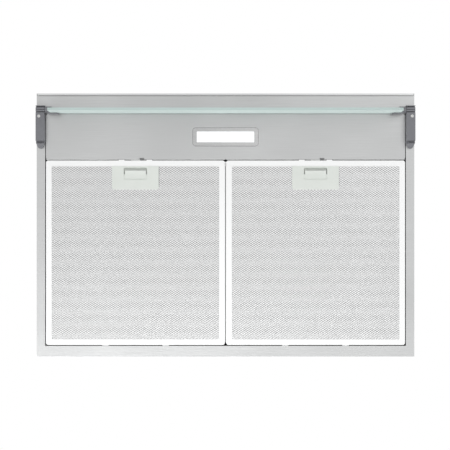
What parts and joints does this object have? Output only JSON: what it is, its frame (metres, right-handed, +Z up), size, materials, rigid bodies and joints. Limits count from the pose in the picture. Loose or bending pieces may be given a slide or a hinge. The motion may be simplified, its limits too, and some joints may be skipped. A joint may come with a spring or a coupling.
{
  "type": "wall mount range hood",
  "caption": "Wall mounted canopy hood with sloping sides, a telescopic chimney, drop-down mesh grease filters, a lamp panel and a fold-back glass visor.",
  "frame": {"origin": "on the wall plane, at mid width, level with the underside of the canopy", "axes": "+X to the right as seen from the front, +Y to the wall, +Z up"},
  "size_m": [0.6, 0.4204, 0.99],
  "materials": {
    "steel": "brushed stainless sheet",
    "bright_steel": "plated bright steel",
    "zinc": "galvanised sheet",
    "anodised": "pale anodised aluminium",
    "mesh": "expanded aluminium mesh",
    "latch_grey": "moulded pale grey-green plastic",
    "powder_grey": "dark grey powder coat",
    "glass": "clear toughened glass, polished edges",
    "dark_plastic": "moulded dark grey plastic",
    "white_plastic": "moulded white plastic",
    "lens": "opal diffuser",
    "rubber": "black rubber",
    "board": "green circuit board"
  },
  "bodies": {
    "root": {"canopy_shell": "steel", "front_fascia": "steel", "carrier_plate": "zinc", "light_panel": "steel", "led_bezel": "bright_steel", "led_lens": "lens", "led_board": "board", "led_driver": "white_plastic", "hinge_bracket_left": "powder_grey", "hinge_bracket_right": "powder_grey", "hinge_pins": "bright_steel", "bracket_screws": "bright_steel", "blower_housing": "dark_plastic", "blower_cover": "dark_plastic", "inlet_grille": "dark_plastic", "motor": "zinc", "motor_bracket": "zinc", "motor_screws": "bright_steel", "capacitor": "white_plastic", "terminal_box": "white_plastic", "terminal_box_lid": "white_plastic", "cable_gland": "dark_plastic", "outlet_duct": "dark_plastic", "outlet_collar": "dark_plastic", "damper_pin": "bright_steel", "chimney_lower": "steel", "chimney_bracket_bottom": "zinc", "chimney_screws": "bright_steel", "button_frame": "dark_plastic", "control_board": "board"},
    "visor": {"glass_visor": "glass", "visor_clip_left": "powder_grey", "visor_clip_right": "powder_grey", "clip_pads": "rubber"},
    "filter_left": {"filter_frame_left": "anodised", "filter_mesh_left": "mesh", "filter_core_left": "mesh", "latch_plate_left": "latch_grey"},
    "filter_right": {"filter_frame_right": "anodised", "filter_mesh_right": "mesh", "filter_core_right": "mesh", "latch_plate_right": "latch_grey"},
    "latch_left": {"latch_left": "latch_grey"},
    "latch_right": {"latch_right": "latch_grey"},
    "impeller": {"impeller": "dark_plastic", "motor_shaft": "bright_steel", "impeller_nut": "bright_steel"},
    "damper_flap_left": {"damper_flap_left": "zinc"},
    "damper_flap_right": {"damper_flap_right": "zinc"},
    "chimney_upper": {"chimney_upper": "steel", "chimney_bracket_top": "zinc"},
    "button_off": {"button_off": "bright_steel"},
    "button_low": {"button_low": "bright_steel"},
    "button_medium": {"button_medium": "bright_steel"},
    "button_high": {"button_high": "bright_steel"},
    "button_light": {"button_light": "bright_steel"}
  },
  "joints": [
    {"name": "visor_fold", "type": "hinge", "parent": "root", "child": "visor", "pos_m": [0, -0.3915, -0.0085], "axis": [1, 0, 0], "range_deg": [0, 88]},
    {"name": "filter_left_drop", "type": "hinge", "parent": "root", "child": "filter_left", "pos_m": [-0.14315, -0.0177, 0], "axis": [1, 0, 0], "range_deg": [0, 75]},
    {"name": "filter_right_drop", "type": "hinge", "parent": "root", "child": "filter_right", "pos_m": [0.14315, -0.0177, 0], "axis": [1, 0, 0], "range_deg": [0, 75]},
    {"name": "latch_left_pull", "type": "slide", "parent": "filter_left", "child": "latch_left", "axis": [0, 1, 0], "range_m": [0, 0.008], "stiffness_N_per_m": 400, "springref_m": -0.005},
    {"name": "latch_right_pull", "type": "slide", "parent": "filter_right", "child": "latch_right", "axis": [0, 1, 0], "range_m": [0, 0.008], "stiffness_N_per_m": 400, "springref_m": -0.005},
    {"name": "impeller_spin", "type": "hinge", "parent": "root", "child": "impeller", "pos_m": [-0.062, -0.185, 0.065], "axis": [0, 0, 1], "continuous": true},
    {"name": "damper_left_lift", "type": "hinge", "parent": "root", "child": "damper_flap_left", "pos_m": [0, -0.13, 0.265], "axis": [0, 1, 0], "range_deg": [0, 75]},
    {"name": "damper_right_lift", "type": "hinge", "parent": "root", "child": "damper_flap_right", "pos_m": [0, -0.13, 0.265], "axis": [0, -1, 0], "range_deg": [0, 75]},
    {"name": "chimney_height", "type": "slide", "parent": "root", "child": "chimney_upper", "axis": [0, 0, 1], "range_m": [-0.2, 0.12]},
    {"name": "button_off_press", "type": "slide", "parent": "root", "child": "button_off", "axis": [0, 1, 0], "range_m": [0, 0.002], "stiffness_N_per_m": 300, "springref_m": -0.002},
    {"name": "button_low_press", "type": "slide", "parent": "root", "child": "button_low", "axis": [0, 1, 0], "range_m": [0, 0.002], "stiffness_N_per_m": 300, "springref_m": -0.002},
    {"name": "button_medium_press", "type": "slide", "parent": "root", "child": "button_medium", "axis": [0, 1, 0], "range_m": [0, 0.002], "stiffness_N_per_m": 300, "springref_m": -0.002},
    {"name": "button_high_press", "type": "slide", "parent": "root", "child": "button_high", "axis": [0, 1, 0], "range_m": [0, 0.002], "stiffness_N_per_m": 300, "springref_m": -0.002},
    {"name": "button_light_press", "type": "slide", "parent": "root", "child": "button_light", "axis": [0, 1, 0], "range_m": [0, 0.002], "stiffness_N_per_m": 300, "springref_m": -0.002}
  ]
}
